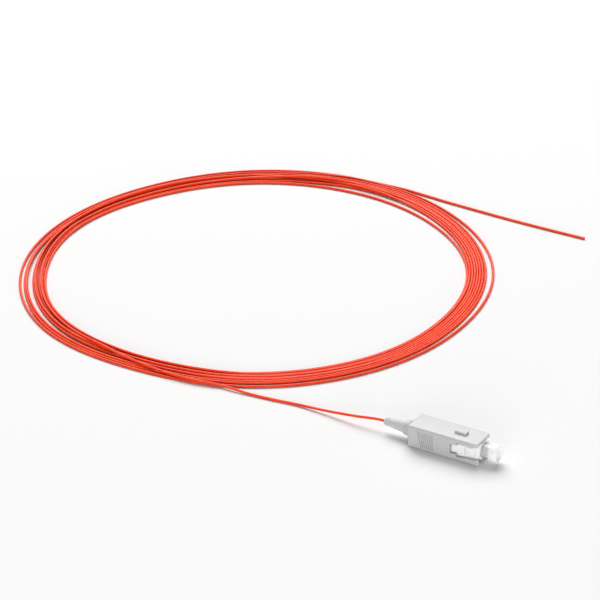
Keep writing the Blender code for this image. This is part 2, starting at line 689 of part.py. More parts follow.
def main():
    clear_scene()
    parts = new_collection("fibre_optic_pigtail")
    cutters = new_collection("cutters")

    light_grey = material("grip_plastic", LIGHT_GREY, 0.45)
    white = material("plug_plastic", WHITE, 0.4)
    ceramic = material("zirconia", CERAMIC_WHITE, 0.2)
    spring_steel = material("spring_steel", STEEL, 0.3, 1.0)
    rear_metal = material("rear_body_metal", STEEL, 0.35, 1.0)
    boot_grey = material("boot_rubber", BOOT_GREY, 0.6)
    cap_white = material("cap_plastic", CAP_WHITE, 0.3)
    coil_orange = material("coil_jacket", FIBRE_ORANGE, 0.4)
    lead_orange = material("lead_jacket", FIBRE_ORANGE, 0.4)
    tail_orange = material("tail_jacket", FIBRE_ORANGE, 0.4)

    connector = [
        (make_grip(parts, cutters), light_grey, False),
        (make_plug_body(parts, cutters), white, False),
        (make_ferrule(parts), ceramic, True),
        (make_ferrule_spring(parts), spring_steel, True),
        (make_rear_body(parts), rear_metal, True),
        (make_boot(parts), boot_grey, True),
        (make_dust_cap(parts), cap_white, True),
    ]
    shift = Matrix.Translation((-MIDDLE_X, 0.0, 0.0))
    for made, its_material, round_piece in connector:
        made.data.transform(shift)
        finish(made, its_material, round_piece)
    for cutter in cutters.objects:
        cutter.data.transform(shift)
        cutter.hide_render = True
        cutter.display_type = "WIRE"

    finish(make_coil(parts), coil_orange, True)
    finish(make_lead(parts), lead_orange, True)
    finish(make_tail(parts), tail_orange, True)


main()
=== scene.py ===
# The dressed fibre optic pigtail: the fibre's turns, the connector's detailed pieces, materials,
# a pale floor, soft light and the photograph's camera. Metres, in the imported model's frame.

from math import cos, floor, pi, radians, sin, sqrt, tan

import bmesh
import bpy
from mathutils import Matrix, Vector


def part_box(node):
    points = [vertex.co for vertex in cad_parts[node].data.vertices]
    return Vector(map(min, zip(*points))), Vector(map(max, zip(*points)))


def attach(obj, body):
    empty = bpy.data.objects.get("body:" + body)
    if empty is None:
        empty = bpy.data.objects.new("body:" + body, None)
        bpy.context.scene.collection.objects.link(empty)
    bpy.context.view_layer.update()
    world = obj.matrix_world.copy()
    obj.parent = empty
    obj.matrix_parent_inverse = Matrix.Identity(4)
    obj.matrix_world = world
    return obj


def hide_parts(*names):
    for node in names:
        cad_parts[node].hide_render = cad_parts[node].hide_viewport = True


MM = 0.001

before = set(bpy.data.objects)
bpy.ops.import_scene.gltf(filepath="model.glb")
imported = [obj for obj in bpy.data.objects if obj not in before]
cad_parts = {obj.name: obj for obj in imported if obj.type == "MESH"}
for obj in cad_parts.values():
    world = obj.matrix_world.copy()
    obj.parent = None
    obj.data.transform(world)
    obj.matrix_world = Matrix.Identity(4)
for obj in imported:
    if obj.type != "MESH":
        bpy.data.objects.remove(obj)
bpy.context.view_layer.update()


# Fibre

FIBRE_RADIUS = 0.45 * MM
FIBRE_DIAMETER = 2 * FIBRE_RADIUS

# The coil's middle on the floor, in millimetres
COIL_CENTRE = (-112.8, 72.1)
POINTS_PER_TURN = 180
JOIN_ANGLE = 262.0
LEAVE_ANGLE = 66.0
WHOLE_TURNS = 9

# Angles round the coil are counted from the right as the camera sees it, at this azimuth
CAMERA_AZIMUTH = 32.24

# The lead's and the tail's route points, as the solids have them, in millimetres
LEAD_ROUTE = [
    (-20.3, 0.0, 3.7), (-24.0, -0.1, 3.45), (-30.7, -0.5, 2.6), (-41.2, -0.2, 1.25), (-51.5, -0.3, 0.55),
    (-60.9, -1.5, 0.46), (-68.0, -2.2, 0.5), (-73.5, -2.5, 0.75)]
TAIL_ROUTE = [
    (-107.0, 154.1, 0.46), (-100.2, 154.1, 0.46), (-91.2, 153.4, 0.46), (-82.8, 152.7, 0.46),
    (-61.9, 151.6, 0.46), (-45.0, 151.2, 0.46), (-28.3, 151.2, 0.46)]

# Radius of the innermost and outermost turn, in millimetres, at every 30 degrees round from the right
INNER_RADII = [71.4, 70.35, 70.65, 71.2, 71.15, 72.9, 72.5, 73.1, 71.9, 73.0, 72.9, 71.6]
OUTER_RADII = [80.3, 80.3, 81.7, 81.5, 79.9, 80.25, 81.05, 81.1, 79.3, 81.8, 81.3, 79.9]

# Where each pass lies between the innermost (0) and the outermost (1) turn, at these angles
STATION_ANGLES = (225, 180, 135, 90, 45, 0, -45, -90)
PASS_SHARES = [
    (None, 0.17, 0.19, 0.26, 0.50, 0.30, 0.32, 0.30),
    (0.36, 0.40, 0.38, 0.46, 0.67, 0.50, 0.54, 0.51),
    (0.46, 0.46, 0.44, 0.38, 0.32, 0.10, 0.105, 0.10),
    (0.06, 0.00, 0.00, 0.00, 0.00, 0.00, 0.00, 0.00),
    (0.12, 0.12, 0.12, 0.13, 0.41, 0.20, 0.21, 0.20),
    (0.23, 0.23, 0.25, 0.30, 0.58, 0.40, 0.43, 0.41),
    (0.35, 0.35, 0.42, 0.54, 0.76, 0.60, 0.65, 0.62),
    (0.76, 0.73, 0.66, 0.68, 0.87, 0.71, 0.76, 0.74),
    (0.86, 0.80, 0.84, 0.84, 1.00, 1.00, 1.00, 1.00),
    (1.00, 1.00, 1.00, 1.00),
]
# The first pass comes in over the top of the others: degrees after it joins, and its share there
CROSSING_SHARES = [(0, 1.095), (5, 1.04), (10, 0.97), (20, 0.72), (30, 0.45), (42, 0.26), (56, 0.19)]

# The turns sink this much in each round, in millimetres, and stop this far above the floor
RELAX_ROUNDS = 260
RELAX_DROP = 0.004
FLOOR_GAP = 0.01
LOOSE_SPAN_STEPS = 5


def hermite(p0, p1, m0, m1, t):
    """Cubic between two values with the slopes given at both."""
    return (
        (2 * t ** 3 - 3 * t ** 2 + 1) * p0 + (t ** 3 - 2 * t ** 2 + t) * m0
        + (-2 * t ** 3 + 3 * t ** 2) * p1 + (t ** 3 - t ** 2) * m1)


def value_round(table, angle):
    """Read a table of values at even angles, smoothly and periodically."""
    count = len(table)
    place = (angle % 360) / 360 * count
    i = floor(place)
    before, start, end, after = (table[(i + k) % count] for k in (-1, 0, 1, 2))
    return hermite(start, end, (end - before) / 2, (after - start) / 2, place - i)


def value_along(knots, x):
    """Read a smooth curve through (place, value) knots."""
    if x <= knots[0][0]:
        return knots[0][1]
    for i in range(len(knots) - 1):
        (x0, y0), (x1, y1) = knots[i], knots[i + 1]
        if x <= x1:
            xb, yb = knots[max(i - 1, 0)]
            xa, ya = knots[min(i + 2, len(knots) - 1)]
            width = x1 - x0
            m0 = (y1 - yb) / (x1 - xb) * width
            m1 = (ya - y0) / (xa - x0) * width
            return hermite(y0, y1, m0, m1, (x - x0) / width)
    return knots[-1][1]


def share_knots():
    knots = list(CROSSING_SHARES)
    for number, shares in enumerate(PASS_SHARES):
        for angle, share in zip(STATION_ANGLES, shares):
            if share is not None:
                knots.append((JOIN_ANGLE - angle + 360 * number, share))
    return knots


def coil_heights(radii):
    """Let the turns rest on the floor and on each other, later ones below, as one springy line."""
    count = len(radii)
    heights = [FIBRE_RADIUS / MM] * count
    diameter = FIBRE_DIAMETER / MM
    supports = []
    for i in range(count):
        below = []
        k = i + POINTS_PER_TURN
        while k < count:
            apart = abs(radii[i] - radii[k])
            if apart < diameter:
                below.append((k, sqrt(diameter ** 2 - apart ** 2)))
            k += POINTS_PER_TURN
        supports.append(below)
    for _ in range(RELAX_ROUNDS):
        smooth = list(heights)
        for i in range(1, count - 1):
            smooth[i] = (heights[i - 1] + 2 * heights[i] + heights[i + 1]) / 4 - RELAX_DROP
        for i in range(count - 1, -1, -1):
            level = max(smooth[i], FIBRE_RADIUS / MM + FLOOR_GAP)
            for k, rise in supports[i]:
                level = max(level, heights[k] + rise)
            heights[i] = level
    return heights


def coil_points():
    """The turns, point by point, clockwise from where the lead joins to where the tail leaves."""
    knots = share_knots()
    step = 360 / POINTS_PER_TURN
    total = JOIN_ANGLE - LEAVE_ANGLE + 360 * WHOLE_TURNS
    count = int(total / step) + 1
    radii = []
    angles = []
    for i in range(count):
        travelled = i * step
        angle = JOIN_ANGLE - travelled
        inner = value_round(INNER_RADII, angle)
        outer = value_round(OUTER_RADII, angle)
        radii.append(inner + (outer - inner) * value_along(knots, travelled))
        angles.append(radians(angle + CAMERA_AZIMUTH))
    heights = coil_heights(radii)
    return [
        (COIL_CENTRE[0] + r * cos(a), COIL_CENTRE[1] + r * sin(a), z)
        for r, a, z in zip(radii, angles, heights)]


def smooth_route(points):
    """More points on a smooth curve through the route points."""
    dense = []
    last = len(points) - 1
    for i in range(last):
        before = points[max(i - 1, 0)]
        start = points[i]
        end = points[i + 1]
        after = points[min(i + 2, last)]
        for k in range(LOOSE_SPAN_STEPS):
            t = k / LOOSE_SPAN_STEPS
            dense.append(tuple(
                hermite(b, c, (c - a) / 2, (d - b) / 2, t)
                for a, b, c, d in zip(before, start, end, after)))
    dense.append(points[last])
    return dense


def cord_points():
    """The lead, the turns and the tail as one line, in metres."""
    coil = coil_points()
    lead = smooth_route(LEAD_ROUTE + [coil[0], coil[2]])[:-LOOSE_SPAN_STEPS - 1]
    tail = smooth_route([coil[-3], coil[-1]] + TAIL_ROUTE)[LOOSE_SPAN_STEPS:]
    route = lead + coil[:-1] + tail
    return [Vector(point) * MM for point in route]


def polyline_length(points):
    return sum((b - a).length for a, b in zip(points, points[1:]))


def make_cord():
    curve = bpy.data.curves.new("fibre", "CURVE")
    curve.dimensions = "3D"
    curve.bevel_depth = FIBRE_RADIUS
    curve.bevel_resolution = 3
    curve.use_fill_caps = True
    points = cord_points()
    spline = curve.splines.new("POLY")
    spline.points.add(len(points) - 1)
    for point, place in zip(spline.points, points):
        point.co = (place.x, place.y, place.z, 1.0)
    spline.use_smooth = True
    made = bpy.data.objects.new("fibre", curve)
    bpy.context.scene.collection.objects.link(made)
    print("cord length", round(polyline_length(points), 4))
    return made


# Connector: stations run along it from the middle of the grip, and the frame says where that is

GRIP_REAR = -12.3 * MM
GRIP_FRONT = 12.3 * MM
GRIP_TOP_FRONT = 11.9 * MM
GRIP_LOW, GRIP_HIGH = (Vector(corner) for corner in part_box("grip"))
GRIP_MIDDLE = GRIP_HIGH.x - GRIP_FRONT
GRIP_WIDTH = GRIP_HIGH.y - GRIP_LOW.y
GRIP_HEIGHT = 7.4 * MM
AXIS_HEIGHT = GRIP_HEIGHT / 2
GRIP_SIDE_WALL = 0.9 * MM
GRIP_TOP_WALL = 0.6 * MM
GRIP_REAR_WALL = 1.0 * MM
GRIP_REAR_CORNER = 0.6 * MM
GRIP_FRONT_CORNER = 1.5 * MM
GRIP_LONG_EDGE = 0.7 * MM
GRIP_TRAVEL = 2.0 * MM
GAP = 0.3 * MM
CAP_GAP = 0.2 * MM
SLIDE_GAP = 0.35 * MM

COLLAR_END = -15.2 * MM
COLLAR_ROOT_RADIUS = 3.6 * MM
COLLAR_LIP = 0.2 * MM
COLLAR_STEPS = 14
COLLAR_CROWDING = 1.5
COLLAR_FLARE = 2.5
BOOT_ROOT_RADIUS = 1.85 * MM
COLLAR_HOLE_RADIUS = BOOT_ROOT_RADIUS + GAP
KEY_START = 2.2 * MM
KEY_END = 6.2 * MM
KEY_WIDTH = 2.2 * MM
KEY_HEIGHT = GRIP_HIGH.z - GRIP_HEIGHT
KEY_CORNER = 0.3 * MM

WINDOW_REAR = 2.5 * MM
WINDOW_STEP = 4.6 * MM
RAMP_END = 10.0 * MM
SLOT_HALF_HEIGHT = 1.55 * MM
RAIL_THIN = 1.3 * MM
RAIL_THICK = 1.9 * MM
ROOF_THIN = 1.1 * MM
ROOF_THICK = 1.3 * MM

GROOVE_START = -8.1 * MM
GROOVE_PITCH = 0.76 * MM
GROOVE_COUNT = 7
GROOVE_WIDTH = 0.36 * MM
GROOVE_DEPTH = 0.3 * MM
GROOVE_HEIGHT = 5.2 * MM
GROOVE_LEAN = radians(15)

PLUG_REAR = -9.0 * MM
PLUG_FRONT = 12.0 * MM
WEB_REAR = -0.5 * MM
WEB_FRONT = 2.0 * MM
HOLLOW_WIDTH = GRIP_WIDTH - 2 * GRIP_SIDE_WALL
HOLLOW_HEIGHT = GRIP_HEIGHT - 2 * GRIP_TOP_WALL
PLUG_WIDTH = HOLLOW_WIDTH - 2 * GAP
PLUG_HEIGHT = HOLLOW_HEIGHT - 2 * GAP
PLUG_CORNER = 0.5 * MM
PLUG_BORE_RADIUS = 2.4 * MM
NOSE_RADIUS = 3.3 * MM
NOSE_LENGTH = 1.2 * MM
PAD_REAR = WINDOW_REAR + SLIDE_GAP
PAD_STEP = WINDOW_STEP + SLIDE_GAP
PAD_SPLIT = 7.3 * MM
PAD_SPLIT_GAP = 0.3 * MM
PAD_FRONT = 9.9 * MM
PAD_EDGE = 0.15 * MM
REAR_PAD_HEIGHT = 0.65 * MM
REAR_PAD_TOP = 5.6 * MM
FRONT_PAD_HEIGHT = 0.5 * MM
FRONT_PAD_BOTTOM = 2.6 * MM
FRONT_PAD_TOP = 5.3 * MM
NOTCH_STATIONS = (10.4 * MM, 11.2 * MM)
NOTCH_WIDTH = 0.35 * MM
NOTCH_DEPTH = 0.25 * MM

FERRULE_TIP = 12.9 * MM
FERRULE_RADIUS = 1.25 * MM
FERRULE_CHAMFER = 0.25 * MM
FERRULE_DOME = 0.02 * MM
FLANGE_FRONT = WEB_REAR - GAP
FLANGE_REAR = FLANGE_FRONT - 2.4 * MM
FLANGE_RADIUS = PLUG_BORE_RADIUS - SLIDE_GAP
TAIL_RADIUS = 0.9 * MM
TAIL_REAR = FLANGE_REAR - 2.6 * MM
CORE_RADIUS = 0.0625 * MM

BOOT_TIP = -22.7 * MM
BOOT_FRONT = -11.0 * MM
BOOT_TIP_RADIUS = 1.2 * MM
BOOT_TIP_EDGE = 0.3 * MM
# How far the middle of each ring groove is from the boot's tip
BOOT_GROOVES = (1.9 * MM, 1.0 * MM)
BOOT_GROOVE_WIDTH = 0.4 * MM
BOOT_GROOVE_DEPTH = 0.18 * MM
BOOT_GROOVE_STEPS = 8
BOOT_GROOVE_FULLNESS = 0.7
BOOT_STRAIGHT_END = COLLAR_END - 1.0 * MM
FIBRE_BORE_RADIUS = FIBRE_RADIUS + 0.04 * MM

CAP_REAR = 7.5 * MM
CAP_HEAD_REAR = 14.6 * MM
CAP_FRONT = 17.3 * MM
CAP_NECK_RADIUS = PLUG_BORE_RADIUS - CAP_GAP
CAP_BORE_RADIUS = FERRULE_RADIUS + GAP
CAP_BORE_END = FERRULE_TIP + 1.2 * MM
CAP_HEAD_RADIUS = 2.9 * MM
CAP_RECESS_RADIUS = 2.0 * MM
CAP_RECESS_DEPTH = 0.35 * MM
CAP_RIM = 0.6 * MM
CAP_EDGE = 0.3 * MM
CAP_NECK_FILLET = 0.2 * MM

# Drawn flat, an outline is stood on its edge by one of these
ALONG_Y = Matrix.Rotation(pi / 2, 4, "X")
ALONG_X = Matrix.Rotation(-pi / 2, 4, "Y")
ON_AXIS = Matrix.Translation((GRIP_MIDDLE, 0.0, AXIS_HEIGHT)) @ Matrix.Rotation(pi / 2, 4, "Y")
FROM_GRIP = Matrix.Translation((GRIP_MIDDLE, 0.0, 0.0))
CORNER_STEPS = 8
TURN_STEPS = 96
EDGE_STEPS = 6
RIM_STEPS = 10
SOFT_EDGE = 0.07 * MM
OVERHANG = 0.01 * MM
BEVEL_ANGLE = radians(40)
SMOOTH_ANGLE = radians(32)


def rounded_polygon(corners):
    """A closed outline through (x, y, radius) corners, each rounded by an arc of its radius."""
    outline = []
    for i, (x, y, radius) in enumerate(corners):
        if radius == 0.0:
            outline.append((x, y))
            continue
        corner = Vector((x, y))
        before = (Vector(corners[i - 1][:2]) - corner).normalized()
        after = (Vector(corners[(i + 1) % len(corners)][:2]) - corner).normalized()
        half = before.angle(after) / 2
        centre = corner + (before + after).normalized() * (radius / sin(half))
        arm = corner + before * (radius / tan(half)) - centre
        sweep = pi - 2 * half
        if before.cross(after) > 0.0:
            sweep = -sweep
        for k in range(CORNER_STEPS + 1):
            outline.append(tuple(centre + Matrix.Rotation(sweep * k / CORNER_STEPS, 2) @ arm))
    return outline


def rounded_box(x_low, x_high, half_width, low_radius, high_radius):
    """A rectangle about the X axis with one corner radius at its low end and another at its high end."""
    return rounded_polygon([
        (x_high, -half_width, high_radius), (x_high, half_width, high_radius),
        (x_low, half_width, low_radius), (x_low, -half_width, low_radius)])


def object_from(work, name, placement):
    """Make an object of a bmesh, with its faces outward and its placement in its points."""
    bmesh.ops.recalc_face_normals(work, faces=work.faces)
    mesh = bpy.data.meshes.new(name)
    work.to_mesh(mesh)
    work.free()
    mesh.transform(placement)
    made = bpy.data.objects.new(name, mesh)
    bpy.context.scene.collection.objects.link(made)
    return made


def prism(name, outline, low, high, placement=Matrix.Identity(4)):
    """A flat outline made solid from low to high."""
    work = bmesh.new()
    bottom = [work.verts.new((x, y, low)) for x, y in outline]
    top = [work.verts.new((x, y, high)) for x, y in outline]
    work.faces.new(bottom[::-1])
    work.faces.new(top)
    for i in range(len(outline)):
        work.faces.new((bottom[i - 1], bottom[i], top[i], top[i - 1]))
    return object_from(work, name, FROM_GRIP @ placement)


def turned(name, profile, closed=False):
    """Turn a profile of (station, radius) pairs about the connector's axis."""
    work = bmesh.new()
    rings = []
    for station, radius in profile:
        if radius == 0.0:
            rings.append([work.verts.new((0.0, 0.0, station))] * TURN_STEPS)
            continue
        rings.append([
            work.verts.new((radius * cos(turn), radius * sin(turn), station))
            for turn in (2 * pi * i / TURN_STEPS for i in range(TURN_STEPS))])
    pairs = list(zip(rings, rings[1:]))
    if closed:
        pairs.append((rings[-1], rings[0]))
    for near, far in pairs:
        for i in range(TURN_STEPS):
            corners = [near[i - 1], near[i], far[i], far[i - 1]]
            distinct = [c for k, c in enumerate(corners) if c not in corners[:k]]
            if len(distinct) > 2:
                work.faces.new(distinct)
    return object_from(work, name, ON_AXIS)


def boolean(target, cutter, operation):
    """Cut or join at once, and throw the cutter away."""
    step = target.modifiers.new(operation.lower(), "BOOLEAN")
    step.operation = operation
    step.solver = "EXACT"
    step.object = cutter
    apply_modifiers(target)
    bpy.data.objects.remove(cutter, do_unlink=True)


def apply_modifiers(target):
    bpy.context.view_layer.update()
    evaluated = target.evaluated_get(bpy.context.evaluated_depsgraph_get())
    mesh = bpy.data.meshes.new_from_object(evaluated)
    target.modifiers.clear()
    target.data = mesh


def bevelled(target, width, segments):
    step = target.modifiers.new("edges", "BEVEL")
    step.width = width
    step.segments = segments
    step.limit_method = "ANGLE"
    step.angle_limit = BEVEL_ANGLE


def soften(target):
    """Break the cut edges as a mould does, and shade the rest smooth."""
    bevelled(target, SOFT_EDGE, 2)
    target.modifiers["edges"].harden_normals = True
    target.data.shade_smooth()
    target.data.set_sharp_from_angle(angle=SMOOTH_ANGLE)


def shade_round(target):
    target.data.shade_smooth()
    target.data.set_sharp_from_angle(angle=SMOOTH_ANGLE)


def rail_top(station):
    """Height of the window's lower edge, which ramps up towards the front."""
    share = min(max((station - WINDOW_STEP) / (RAMP_END - WINDOW_STEP), 0.0), 1.0)
    return RAIL_THIN + (RAIL_THICK - RAIL_THIN) * share


def grip_plan(name, front, overhang, low, high):
    """The grip seen from above, a hair larger all round, so that it only takes off the upright corners."""
    outline = rounded_box(
        GRIP_REAR - overhang, front + overhang, GRIP_WIDTH / 2 + overhang,
        GRIP_REAR_CORNER, GRIP_FRONT_CORNER)
    return prism(name, outline, low, high)


def grip_block():
    """The outside: a rounded section along the grip, trimmed to its side view and its plan."""
    grip = prism(
        "grip_shell", rounded_box(0.0, GRIP_HEIGHT, GRIP_WIDTH / 2, GRIP_LONG_EDGE, GRIP_LONG_EDGE),
        -GRIP_FRONT - MM, -GRIP_REAR + MM, ALONG_X)
    below = -OVERHANG
    above = GRIP_HEIGHT + OVERHANG
    side_view = prism("side_view", rounded_polygon([
        (GRIP_REAR, below, GRIP_REAR_CORNER), (GRIP_FRONT, below, GRIP_REAR_CORNER / 2),
        (GRIP_FRONT, AXIS_HEIGHT, 0.0), (GRIP_TOP_FRONT, AXIS_HEIGHT, 0.0),
        (GRIP_TOP_FRONT, above, GRIP_REAR_CORNER / 2), (GRIP_REAR, above, GRIP_REAR_CORNER),
    ]), -GRIP_WIDTH, GRIP_WIDTH, ALONG_Y)
    boolean(grip, side_view, "INTERSECT")
    plan = grip_plan("low_plan", GRIP_FRONT, OVERHANG, -MM, AXIS_HEIGHT + OVERHANG)
    high_plan = grip_plan("high_plan", GRIP_TOP_FRONT, 2 * OVERHANG, AXIS_HEIGHT / 2, GRIP_HEIGHT + MM)
    boolean(plan, high_plan, "UNION")
    boolean(grip, plan, "INTERSECT")
    return grip


def collar():
    """The trumpet that runs from the boot out to the grip's rear face."""
    inside = GRIP_REAR + GRIP_REAR_WALL / 2
    end_radius = COLLAR_HOLE_RADIUS + COLLAR_LIP
    profile = [(inside, 0.0), (inside, COLLAR_ROOT_RADIUS)]
    for i in range(COLLAR_STEPS + 1):
        share = (i / COLLAR_STEPS) ** COLLAR_CROWDING
        station = GRIP_REAR + (COLLAR_END - GRIP_REAR) * share
        flare = (1.0 - share) ** COLLAR_FLARE
        profile.append((station, end_radius + (COLLAR_ROOT_RADIUS - end_radius) * flare))
    profile.append((COLLAR_END, 0.0))
    return turned("collar", profile)


def windows():
    """The cut through both sides: a slot at the rear that widens and runs out at the front."""
    roof = GRIP_HEIGHT - ROOF_THIN
    low_roof = GRIP_HEIGHT - ROOF_THICK
    beyond = GRIP_FRONT + MM
    return prism("windows", [
        (WINDOW_REAR, AXIS_HEIGHT - SLOT_HALF_HEIGHT), (WINDOW_STEP, AXIS_HEIGHT - SLOT_HALF_HEIGHT),
        (WINDOW_STEP, RAIL_THIN), (RAMP_END, RAIL_THICK), (beyond, RAIL_THICK),
        (beyond, low_roof), (RAMP_END, low_roof), (WINDOW_STEP, roof),
        (WINDOW_STEP, AXIS_HEIGHT + SLOT_HALF_HEIGHT), (WINDOW_REAR, AXIS_HEIGHT + SLOT_HALF_HEIGHT),
    ], -GRIP_WIDTH, GRIP_WIDTH, ALONG_Y)


def cut_grooves(grip):
    """Cut the finger grooves, which stand up straighter towards the front."""
    outline = rounded_polygon([
        (-GROOVE_WIDTH / 2, -GROOVE_HEIGHT / 2, GROOVE_WIDTH / 4),
        (GROOVE_WIDTH / 2, -GROOVE_HEIGHT / 2, GROOVE_WIDTH / 4),
        (GROOVE_WIDTH / 2, GROOVE_HEIGHT / 2, GROOVE_WIDTH / 4),
        (-GROOVE_WIDTH / 2, GROOVE_HEIGHT / 2, GROOVE_WIDTH / 4)])
    for side in (-1, 1):
        for i in range(GROOVE_COUNT):
            lean = GROOVE_LEAN * (1.0 - i / GROOVE_COUNT)
            placement = (
                Matrix.Translation((GROOVE_START + i * GROOVE_PITCH, side * GRIP_WIDTH / 2, AXIS_HEIGHT))
                @ Matrix.Rotation(-lean, 4, "Y") @ ALONG_Y)
            boolean(grip, prism("groove", outline, -GROOVE_DEPTH, GROOVE_DEPTH, placement), "DIFFERENCE")


def make_grip():
    """The push-pull housing with its collar, key, hollow, windows and finger grooves."""
    grip = grip_block()
    boolean(grip, collar(), "UNION")
    key = prism(
        "key", rounded_box(KEY_START, KEY_END, KEY_WIDTH / 2, KEY_CORNER, KEY_CORNER),
        GRIP_HEIGHT - GRIP_TOP_WALL / 2, GRIP_HEIGHT + KEY_HEIGHT)
    boolean(grip, key, "UNION")
    hollow = prism(
        "hollow",
        rounded_box(GRIP_REAR + GRIP_REAR_WALL, GRIP_FRONT + MM, HOLLOW_WIDTH / 2, KEY_CORNER, KEY_CORNER),
        GRIP_TOP_WALL, GRIP_HEIGHT - GRIP_TOP_WALL)
    boolean(grip, hollow, "DIFFERENCE")
    hole = turned("boot_hole", [
        (GRIP_REAR + 2 * GRIP_REAR_WALL, 0.0), (GRIP_REAR + 2 * GRIP_REAR_WALL, COLLAR_HOLE_RADIUS),
        (COLLAR_END - MM, COLLAR_HOLE_RADIUS), (COLLAR_END - MM, 0.0)])
    boolean(grip, hole, "DIFFERENCE")
    boolean(grip, windows(), "DIFFERENCE")
    cut_grooves(grip)
    soften(grip)
    return grip


def latch_pads():
    """The pads that fill the windows; they stay clear of the ramps while the grip slides back."""
    rear_half = PLUG_WIDTH / 2 + REAR_PAD_HEIGHT
    slot = SLOT_HALF_HEIGHT - SLIDE_GAP
    rear_pads = prism("rear_pads", rounded_polygon([
        (PAD_REAR, AXIS_HEIGHT - slot, PAD_EDGE),
        (PAD_STEP, AXIS_HEIGHT - slot, 0.0),
        (PAD_STEP, rail_top(PAD_STEP + GRIP_TRAVEL) + SLIDE_GAP, PAD_EDGE),
        (PAD_SPLIT, rail_top(PAD_SPLIT + GRIP_TRAVEL) + SLIDE_GAP, PAD_EDGE),
        (PAD_SPLIT, REAR_PAD_TOP, 3 * PAD_EDGE),
        (PAD_STEP, REAR_PAD_TOP, 3 * PAD_EDGE),
        (PAD_STEP - 2 * PAD_EDGE, AXIS_HEIGHT + slot, 0.0),
        (PAD_REAR, AXIS_HEIGHT + slot, PAD_EDGE),
    ]), -rear_half, rear_half, ALONG_Y)
    front_half = PLUG_WIDTH / 2 + FRONT_PAD_HEIGHT
    front_pads = prism("front_pads", rounded_polygon([
        (PAD_SPLIT + PAD_SPLIT_GAP, FRONT_PAD_BOTTOM, PAD_EDGE), (PAD_FRONT, FRONT_PAD_BOTTOM, PAD_EDGE),
        (PAD_FRONT, FRONT_PAD_TOP, PAD_EDGE), (PAD_SPLIT + PAD_SPLIT_GAP, FRONT_PAD_TOP, PAD_EDGE),
    ]), -front_half, front_half, ALONG_Y)
    for pads in (rear_pads, front_pads):
        bevelled(pads, PAD_EDGE, 4)
        apply_modifiers(pads)
    return rear_pads, front_pads


def make_plug_body():
    """The white inner frame: a rounded section with a turned nose, side notches, pads and a stepped bore."""
    low = AXIS_HEIGHT - PLUG_HEIGHT / 2
    high = AXIS_HEIGHT + PLUG_HEIGHT / 2
    body = prism(
        "plug_shell", rounded_box(low, high, PLUG_WIDTH / 2, PLUG_CORNER, PLUG_CORNER),
        -PLUG_FRONT, -PLUG_REAR, ALONG_X)
    outside = PLUG_WIDTH
    nose = turned("nose", [
        (PLUG_FRONT - NOSE_LENGTH, outside), (PLUG_FRONT + MM, outside),
        (PLUG_FRONT + MM, NOSE_RADIUS - PLUG_CORNER), (PLUG_FRONT - PLUG_CORNER, NOSE_RADIUS),
        (PLUG_FRONT - NOSE_LENGTH, NOSE_RADIUS + PLUG_CORNER)], closed=True)
    boolean(body, nose, "DIFFERENCE")
    for station in NOTCH_STATIONS:
        for side in (-1, 1):
            notch = prism(
                "notch", rounded_box(station, station + NOTCH_WIDTH, NOTCH_DEPTH, 0.0, 0.0),
                -MM, GRIP_HEIGHT + MM, Matrix.Translation((0.0, side * PLUG_WIDTH / 2, 0.0)))
            boolean(body, notch, "DIFFERENCE")
    for pads in latch_pads():
        boolean(body, pads, "UNION")
    for front, rear, radius in (
            (PLUG_FRONT + MM, WEB_FRONT, PLUG_BORE_RADIUS),
            (WEB_FRONT + MM, WEB_REAR - MM, FERRULE_RADIUS + GAP),
            (WEB_REAR, PLUG_REAR - MM, PLUG_BORE_RADIUS)):
        bore = turned("bore", [(front, 0.0), (front, radius), (rear, radius), (rear, 0.0)])
        boolean(body, bore, "DIFFERENCE")
    soften(body)
    return body


def arc(centre_station, centre_radius, size, start, end, steps):
    """Profile points on an arc, with angles in degrees from the axis towards the outside."""
    points = []
    for i in range(steps + 1):
        angle = radians(start + (end - start) * i / steps)
        points.append((centre_station + size * cos(angle), centre_radius + size * sin(angle)))
    return points


def make_boot():
    """The tapered sleeve behind the grip, with two ring grooves near its tip."""
    length = BOOT_STRAIGHT_END - BOOT_TIP

    def radius_at(station):
        share = (station - BOOT_TIP) / length
        return BOOT_TIP_RADIUS + (BOOT_ROOT_RADIUS - BOOT_TIP_RADIUS) * share

    profile = [
        (BOOT_FRONT, FIBRE_BORE_RADIUS), (BOOT_FRONT, BOOT_ROOT_RADIUS),
        (BOOT_STRAIGHT_END, BOOT_ROOT_RADIUS)]
    for offset in BOOT_GROOVES:
        station = BOOT_TIP + offset
        for i in range(BOOT_GROOVE_STEPS + 1):
            across = i / BOOT_GROOVE_STEPS
            depth = BOOT_GROOVE_DEPTH * sin(pi * across) ** BOOT_GROOVE_FULLNESS
            place = station + BOOT_GROOVE_WIDTH * (0.5 - across)
            profile.append((place, radius_at(place) - depth))
    profile += arc(
        BOOT_TIP + BOOT_TIP_EDGE, BOOT_TIP_RADIUS - BOOT_TIP_EDGE, BOOT_TIP_EDGE, 90, 180, EDGE_STEPS)
    profile.append((BOOT_TIP, FIBRE_BORE_RADIUS + BOOT_TIP_EDGE / 3))
    profile.append((BOOT_TIP + BOOT_TIP_EDGE / 3, FIBRE_BORE_RADIUS))
    boot = turned("boot_sleeve", profile, closed=True)
    shade_round(boot)
    return boot


